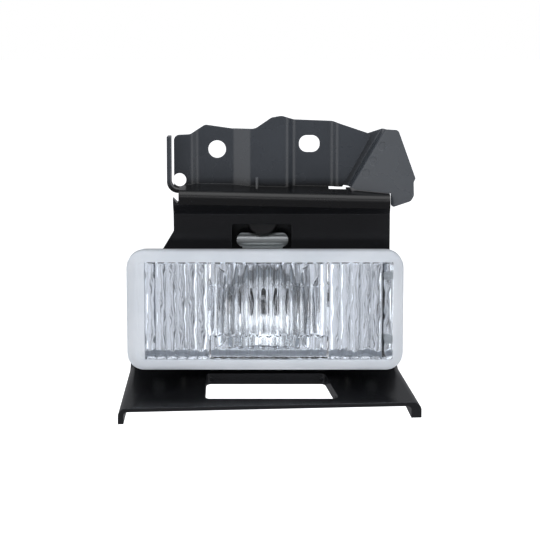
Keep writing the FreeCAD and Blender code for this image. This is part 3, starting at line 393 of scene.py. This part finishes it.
# %% Finishes for the nodes that keep their meshes
FINISHES = {
    SHEENED_SLATE: ["gusset_flap"],
    SHEENED_SLATE_SHADED_LOW: ["upper_bracket"],
    BLACK: ["carrier_panel", "adjuster_bracket", "left_pivot_bracket", "right_pivot_bracket"],
    ZINC_SHADED_TOP: ["aim_strap"],
    ZINC: ["aim_strap_rivets", "pivot_bracket_rivets", "left_pivot_pin", "right_pivot_pin",
           "aim_screw", "screw_clip", "reflector_screws"],
    HOUSING: ["housing"],
    NYLON_BLACK: ["adjuster_nut", "bulb_base"],
    NYLON_WHITE: ["left_pivot_bush", "right_pivot_bush"],
    RUBBER: ["lens_seal", "vent_cap", "bulb_seal_ring"],
    BRASS: ["bulb_terminals"],
    TUNGSTEN: ["bulb_filament"],
    QUARTZ: ["bulb_glass"],
    MIRROR: ["reflector"],
    PRESSED_GLASS: ["lens"],
}
for finish, names in FINISHES.items():
    for name in names:
        nodes[name].data.materials.clear()
        nodes[name].data.materials.append(finish)
print("finished nodes:", sum(len(names) for names in FINISHES.values()))


# %% [markdown]
# A finer piece is a list of corner points and faces. This helper makes the object, smooths it, lets it
# ride on its body, and hides the node that it stands for.

# %% From points and faces to a piece
def new_piece(name, points, faces, finish, body, slot, *replaced):
    mesh = bpy.data.meshes.new(name)
    mesh.from_pydata(points, [], faces)
    mesh.validate()
    mesh.materials.append(finish)
    mesh.polygons.foreach_set("use_smooth", [True] * len(mesh.polygons))
    mesh.update()
    piece = bpy.data.objects.new(name, mesh)
    bpy.context.scene.collection.objects.link(piece)
    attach(piece, body)
    if replaced:
        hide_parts(*replaced)
    print(name, len(points), "points", len(faces), "faces")
    return piece


# %% [markdown]
# ## The lens
# The lens is one pressing: a crowned front, a rounded edge, a skirt, and upright flutes inside that spread
# the beam sideways. A rectangle with round corners is laid out as a grid whose columns get shorter near
# the ends. Front and inside then share the same columns, and the skirt joins their edges.

# %% Columns and rows of the lens
FLUTES = 24
PITCH = 5.35
FLUTE_SHIFT = 2.0
FLUTE_COLUMNS = 10
SIDE_COLUMNS = 14
ROW_GAPS = 130
CORNER = 9.0
TIGHTEST_CORNER = 1.5
WALL = 3.4
half_wide = lens_wide / MM / 2
half_tall = lens_tall / MM / 2
fluted_from = FLUTE_SHIFT - FLUTES * PITCH / 2
fluted_to = FLUTE_SHIFT + FLUTES * PITCH / 2


def columns():
    """Positions across the lens as fractions of its half width, densest where the flutes are."""
    inner = half_wide - WALL
    left = [-inner + (fluted_from + inner) * i / SIDE_COLUMNS for i in range(SIDE_COLUMNS)]
    middle = [fluted_from + PITCH * i / FLUTE_COLUMNS for i in range(FLUTES * FLUTE_COLUMNS + 1)]
    right = [inner - (inner - fluted_to) * i / SIDE_COLUMNS for i in range(SIDE_COLUMNS)]
    return [x / inner for x in left + middle + right[::-1]]


COLUMNS = columns()
ROWS = [-1 + 2 * i / ROW_GAPS for i in range(ROW_GAPS + 1)]


def edge_height(x, half_w, half_h, corner):
    """Half height of a rounded rectangle at a distance from its middle."""
    past = abs(x) - (half_w - corner)
    if past <= 0:
        return half_h
    return half_h - corner + math.sqrt(max(0.0, corner ** 2 - past ** 2))


def lens_sheet(inset, depth):
    """Points of one face of the lens: inset from its outline, at a depth given by depth(x, z)."""
    wide, tall = half_wide - inset, half_tall - inset
    corner = max(TIGHTEST_CORNER, CORNER - inset)
    sheet = []
    for u in COLUMNS:
        x = u * wide
        tip = edge_height(x, wide, tall, corner)
        sheet.append([(x, depth(x, v * tip), v * tip) for v in ROWS])
    return sheet


print("lens grid:", len(COLUMNS), "columns of", len(ROWS), "points")


# %% [markdown]
# Between two valleys each flute is a shallow arch that swells towards the mirror. No two are quite alike:
# the hot glass sagged a little differently in each groove of the mould, so every flute gets its own slow
# wave. Over the dish in the middle the flutes are divided in height by zigzag steps, and the top and bottom
# rows are tilted. In front, the glass is crowned, and a low step runs round it.

# %% The flutes' shape
FLUTE_RISE = 1.1
FLUTE_HALF_TALL = 24.6
FLUTE_FADE = 0.9
DISH_ZONE = 30.5
DISH_WAVE = 0.35
ZONE_TOP = 12.6
ZONE_LOW = -12.8
ZONE_STEP = 0.55
ZONE_TILT = 0.12
ZONE_REACH = 40
TOOTH = 1.1
TOOTH_WANDER = 0.5
SWELL = 0.6
SWELL_HALF_TALL = 14


# Each row is one wave: its size in millimetres, then how it runs with height, from flute to flute and across.
WAVES = ((0.16, 0.24, 2.4, 3.0), (0.08, 0.52, 4.1, -5.0), (0.02, 0.95, -1.3, 6.0))


def own_wave(flute, z, across):
    """A slow wave of a flute's own, and how it leans to one side."""
    return sum(size * math.sin(z * along + flute * apart + across * lean)
               for size, along, apart, lean in WAVES)


def flute_depth(x, z):
    """How far the inside of the glass lies behind the front face, in millimetres."""
    place = (x - fluted_from) / PITCH
    if place <= 0 or place >= FLUTES:
        return WALL
    flute, t = divmod(place, 1.0)
    arch = 1 - (2 * t - 1) ** 2
    fade = min(1.0, max(0.0, (FLUTE_HALF_TALL + FLUTE_FADE - abs(z)) / FLUTE_FADE))
    if abs(x - FLUTE_SHIFT) > DISH_ZONE:
        rise = arch * (FLUTE_RISE + own_wave(flute, z, t))
        return WALL + rise * fade
    teeth = TOOTH * (abs(2 * t - 1) - 0.5) + TOOTH_WANDER * math.cos(flute * 2.2)
    past = max(z - (ZONE_TOP + teeth), (ZONE_LOW - teeth) - z)
    rise = arch * (FLUTE_RISE + DISH_WAVE * own_wave(flute, z, t))
    if past > 0:
        rise += ZONE_TILT * past * (1 - past / ZONE_REACH) + ZONE_STEP * min(1.0, past)
    else:
        rise += SWELL * arch * (1 - (z / SWELL_HALF_TALL) ** 2)
    return WALL + rise * fade


BORDER = 5.6
BORDER_STEP = 0.5
BORDER_BLEND = 1.0
CROWN_RISE = 0.9


def crown(x, z):
    """The front bulges a little, and a low step runs round it just inside the border."""
    past_x, past_z = abs(x) - half_wide + CORNER, abs(z) - half_tall + CORNER
    out = math.hypot(max(past_x, 0), max(past_z, 0)) + min(max(past_x, past_z), 0)
    share = min(1.0, max(0.0, (out - CORNER + BORDER + BORDER_BLEND / 2) / BORDER_BLEND))
    step = BORDER_STEP * share * share * (3 - 2 * share)
    return step + CROWN_RISE * ((x / half_wide) ** 2 * 0.6 + (z / half_tall) ** 2 * 0.4)


print("flutes:", FLUTES, "from", fluted_from, "to", fluted_to, "mm")


# %% [markdown]
# The faces are joined by rings: round the front edge, down the skirt, across its foot and up the inside. The
# faces outside the fluted field get the milky glass.

# %% Build the lens
EDGE_ROUND = 3.6
EDGE_STEPS = 8
CLEAR_SIDE = 0.6
CLEAR_END = 1.0


def rim_ring(sheet):
    """The border of a sheet, once round."""
    last = len(ROWS) - 1
    ring = [column[0] for column in sheet]
    ring += sheet[-1][1:]
    ring += [column[last] for column in reversed(sheet[:-1])]
    ring += reversed(sheet[0][1:last])
    return ring


def level(y):
    """A flat sheet's depth, the same everywhere."""
    return lambda x, z: y


def lens_rings(front):
    """The rings between the front's border and the inside's, all with the same count of points."""
    deep = lens_deep / MM
    start = rim_ring(front)
    rings = []
    for i in range(1, EDGE_STEPS + 1):
        turn = math.pi / 2 * i / EDGE_STEPS
        outline = rim_ring(lens_sheet(EDGE_ROUND * (1 - math.sin(turn)), level(0.0)))
        sink = EDGE_ROUND * (1 - math.cos(turn))
        rings.append([(p[0], max(q[1] * (1 - i / EDGE_STEPS) + sink, 0), p[2])
                      for p, q in zip(outline, start)])
    foot = [(0.0, deep - 1.4), (0.35, deep - 0.5), (0.9, deep), (2.4, deep),
            (WALL - 0.3, deep - 0.5), (WALL, WALL + 1.2)]
    return rings + [rim_ring(lens_sheet(inset, level(depth))) for inset, depth in foot]


def build_lens():
    front = lens_sheet(EDGE_ROUND, crown)
    inside = lens_sheet(WALL, flute_depth)
    points, faces = [], []
    tall = len(ROWS)

    def add_sheet(sheet, flip):
        """Adds a face of the lens and gives the numbers of the points round its border."""
        first = len(points)
        for column in sheet:
            points.extend(in_lamp(*p) for p in column)
        index = [[first + i * tall + j for j in range(tall)] for i in range(len(sheet))]
        for here, beside in zip(index, index[1:]):
            for j in range(tall - 1):
                quad = (here[j], beside[j], beside[j + 1], here[j + 1])
                faces.append(quad[::-1] if flip else quad)
        return rim_ring(index)

    def bridge(before, now):
        """Joins two rings of points with faces."""
        for i in range(len(now)):
            k = (i + 1) % len(now)
            faces.append((before[i], now[i], now[k], before[k]))

    before = add_sheet(front, False)
    for ring in lens_rings(front):
        now = list(range(len(points), len(points) + len(ring)))
        points.extend(in_lamp(*p) for p in ring)
        bridge(before, now)
        before = now
    bridge(before, add_sheet(inside, True))
    lens = new_piece("lens_glass", points, faces, PRESSED_GLASS, "lamp", "lens_glass", "lens")
    lens.data.materials.append(MILKY_GLASS)
    for face in lens.data.polygons:
        x = (face.center.x - axis_x) / MM
        z = (face.center.z - axis_z) / MM
        beside = fluted_from - CLEAR_SIDE < x < fluted_to + CLEAR_SIDE
        clear = beside and abs(z) < FLUTE_HALF_TALL + CLEAR_END
        face.material_index = 0 if clear else 1


build_lens()


# %% [markdown]
# ## The mirror
# The middle of the mirror is a dish, a parabola turned about the bulb's axis and cut flat above and below
# so that it fits the low housing. It is laid out in rings round the axis. Outside it, two wings run to the
# sides and carry the light that the flutes need there.

# %% The mirror's shape
DISH_R = 30.0
DISH_HIGH = 23.0
FOCUS = 14.0
VERTEX = 32.0
HOLE_R = 6.5
WING_Y = 15.0
wing_low, wing_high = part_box("reflector")
WING_W = (wing_high.x - wing_low.x) / MM / 2
WING_H = (wing_high.z - wing_low.z) / MM / 2
WING_SINK = 1.6
TURNS = 240
ANGLES = [math.tau * i / TURNS for i in range(TURNS)]
DISH_RINGS = 28
WING_RINGS = 24
SHELL = 1.1
TINY = 1e-6


def dish_rim(angle):
    """Distance from the axis to the dish's edge, which is cut off flat above and below."""
    rise = abs(math.sin(angle))
    return min(DISH_R, DISH_HIGH / rise) if rise > TINY else DISH_R


def wing_rim(angle):
    """Distance from the axis to the outline of the wings."""
    across, rise = abs(math.cos(angle)), abs(math.sin(angle))
    to_side = WING_W / across if across > TINY else math.inf
    to_top = WING_H / rise if rise > TINY else math.inf
    return min(to_side, to_top)


def dish_y(radius):
    return VERTEX - radius ** 2 / (4 * FOCUS)


def wing_y(x):
    """The wings hollow backwards between the dish and the ends."""
    along = (abs(x) - DISH_R) / (WING_W - DISH_R)
    if along <= 0 or along >= 1:
        return WING_Y
    return WING_Y + WING_SINK * math.sin(math.pi * along)


def build_mirror():
    rings = []
    for i in range(DISH_RINGS + 1):
        share = i / DISH_RINGS
        radii = [HOLE_R + (dish_rim(a) - HOLE_R) * share for a in ANGLES]
        rings.append((radii, lambda x, radius: dish_y(radius)))
    rings.append(([dish_rim(a) for a in ANGLES], lambda x, radius: WING_Y))
    for i in range(1, WING_RINGS + 1):
        share = i / WING_RINGS
        radii = [dish_rim(a) + (wing_rim(a) - dish_rim(a)) * share for a in ANGLES]
        rings.append((radii, lambda x, radius: wing_y(x)))
    points, faces = [], []
    for radii, depth in rings:
        for angle, radius in zip(ANGLES, radii):
            x, z = radius * math.cos(angle), radius * math.sin(angle)
            points.append(in_lamp(x, depth(x, radius), z))
    for i in range(len(rings) - 1):
        for j in range(TURNS):
            k = (j + 1) % TURNS
            faces.append((i * TURNS + j, i * TURNS + k, (i + 1) * TURNS + k, (i + 1) * TURNS + j))
    piece = new_piece("mirror", points, faces, MIRROR, "lamp", "reflector_mirror", "reflector")
    thick = piece.modifiers.new("Shell", "SOLIDIFY")
    thick.thickness = SHELL * MM
    thick.offset = 1.0


build_mirror()


# %% [markdown]
# ## The stage
# A pale floor lies below the lamp, and what the camera sees round it is white. Gloss paint shows whatever
# stands in front of it, so the room that lights the lamp is darkest just below the horizon and brighter above
# and straight below. The floor is left out of reflections and out of what the glass shows. Light that has
# passed through the glass comes from a room with bright and dark patches, brighter than the plain one on the
# whole: they draw the strokes in the flutes.

# %% Floor and room
FLOOR_REACH = 4.0
FLOOR_DROP = 0.12
ROOM_GREYS = ((0.30, 0.50), (0.42, 0.28), (0.50, 0.34), (0.60, 0.50))
ROOM_STRENGTH = 0.8
THROUGH_GLASS = (0.28, 2.7)


def pale_floor():
    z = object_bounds()[0].z - FLOOR_DROP
    near, far = -FLOOR_REACH, FLOOR_REACH * 3
    corners = [(near, near, z), (-near, near, z), (-near, far, z), (near, far, z)]
    mesh = bpy.data.meshes.new("floor")
    mesh.from_pydata(corners, [], [(0, 1, 2, 3)])
    floor = bpy.data.objects.new("floor", mesh)
    bpy.context.scene.collection.objects.link(floor)
    finish = start_material("Pale floor", Base_Color=(0.9, 0.9, 0.9, 1), Roughness=0.9,
                            Emission_Color=(1, 1, 1, 1), Emission_Strength=0.75)[0]
    mesh.materials.append(finish)
    floor.visible_glossy = False
    floor.visible_transmission = False


def studio_room():
    world = bpy.data.worlds.new("Studio")
    bpy.context.scene.world = world
    world.use_nodes = True
    tree = world.node_tree
    tree.nodes.clear()
    out = add_node(tree, "OutputWorld")
    seen = add_node(tree, "Background", Color=(1, 1, 1, 1), Strength=1.0)
    room = add_node(tree, "Background")
    place = add_node(tree, "TexCoord")
    ray = add_node(tree, "LightPath")

    split = add_node(tree, "SeparateXYZ")
    lift = add_node(tree, "MapRange", From_Min=-1.0, From_Max=1.0)
    shade = add_node(tree, "ValToRGB")
    stops = shade.color_ramp.elements
    stops[0].position = 0.0
    stops[0].color = (0.55, 0.55, 0.57, 1)
    stops[1].position = 1.0
    stops[1].color = (0.7, 0.72, 0.75, 1)
    for at, grey in ROOM_GREYS:
        stop = stops.new(at)
        stop.color = (grey, grey, grey * 1.05, 1)
    link(tree, place.outputs["Generated"], split.inputs[0])
    link(tree, split.outputs["Z"], lift.inputs["Value"])
    link(tree, lift.outputs[0], shade.inputs["Fac"])
    link(tree, shade.outputs["Color"], room.inputs["Color"])

    stretch = add_node(tree, "Mapping", Scale=(9.0, 9.0, 2.2))
    patches = add_node(tree, "TexNoise", Scale=1.0, Detail=1.5)
    spread = add_node(tree, "MapRange", From_Min=0.42, From_Max=0.54,
                      To_Min=THROUGH_GLASS[0], To_Max=THROUGH_GLASS[1])
    strength = add_node(tree, "Mix", A=ROOM_STRENGTH)
    link(tree, place.outputs["Generated"], stretch.inputs["Vector"])
    link(tree, stretch.outputs["Vector"], patches.inputs["Vector"])
    link(tree, patches.outputs["Fac"], spread.inputs["Value"])
    link(tree, ray.outputs["Is Transmission Ray"], strength.inputs["Factor"])
    link(tree, spread.outputs[0], strength.inputs["B"])
    link(tree, strength.outputs["Result"], room.inputs["Strength"])

    mix = add_node(tree, "MixShader")
    link(tree, ray.outputs["Is Camera Ray"], mix.inputs["Fac"])
    link(tree, room.outputs[0], mix.inputs[1])
    link(tree, seen.outputs[0], mix.inputs[2])
    link(tree, mix.outputs[0], out.inputs["Surface"])
    print("world:", world.name)


pale_floor()
studio_room()


# %% [markdown]
# Large soft boxes light the part: one above, one at each side, and a wide flat one in front, above the lens,
# that the mirror and the flutes pick up as bright strokes.

# %% Soft boxes
def soft_box(name, place, target, wide, tall, power):
    light = bpy.data.lights.new(name, "AREA")
    light.shape = "RECTANGLE"
    light.size, light.size_y = wide, tall
    light.energy = power
    lamp = bpy.data.objects.new(name, light)
    lamp.location = place
    lamp.rotation_euler = (Vector(target) - Vector(place)).to_track_quat("-Z", "Y").to_euler()
    bpy.context.scene.collection.objects.link(lamp)
    print("light:", name, power, "W")


middle = (axis_x, lens_front, axis_z + 20 * MM)
soft_box("top_box", (axis_x, -0.35, 0.95), middle, 1.4, 1.0, 7.0)
soft_box("left_box", (-1.0, -0.8, 0.15), middle, 0.9, 1.1, 4.5)
soft_box("right_box", (1.1, -0.8, 0.15), middle, 0.9, 1.1, 4.5)
soft_box("front_box", (axis_x, -1.3, 0.5), middle, 0.9, 0.3, 1.2)


# %% [markdown]
# The camera stands nearly a metre in front and a little above, with a long lens, so the shelf and the
# ledge just show their tops.

# %% Camera
def place_camera():
    lens_mm, rise, away = 121.8, math.radians(8.0), 0.950
    aim = Vector(in_lamp(2.59, 0.0, 21.85))
    data = bpy.data.cameras.new("Camera")
    data.lens = lens_mm
    data.sensor_width = 36.0
    data.clip_end = 50
    camera = bpy.data.objects.new("Camera", data)
    camera.location = aim + Vector((0, -math.cos(rise), math.sin(rise))) * away
    camera.rotation_euler = (math.pi / 2 - rise, 0, 0)
    bpy.context.scene.collection.objects.link(camera)
    bpy.context.scene.camera = camera
    print("camera at", [round(c, 3) for c in camera.location])


place_camera()

# %% [markdown]
# The room is white in the finished picture, so the view is left as it is, without a film curve.

# %% Finish
bpy.context.scene.view_settings.view_transform = "Standard"
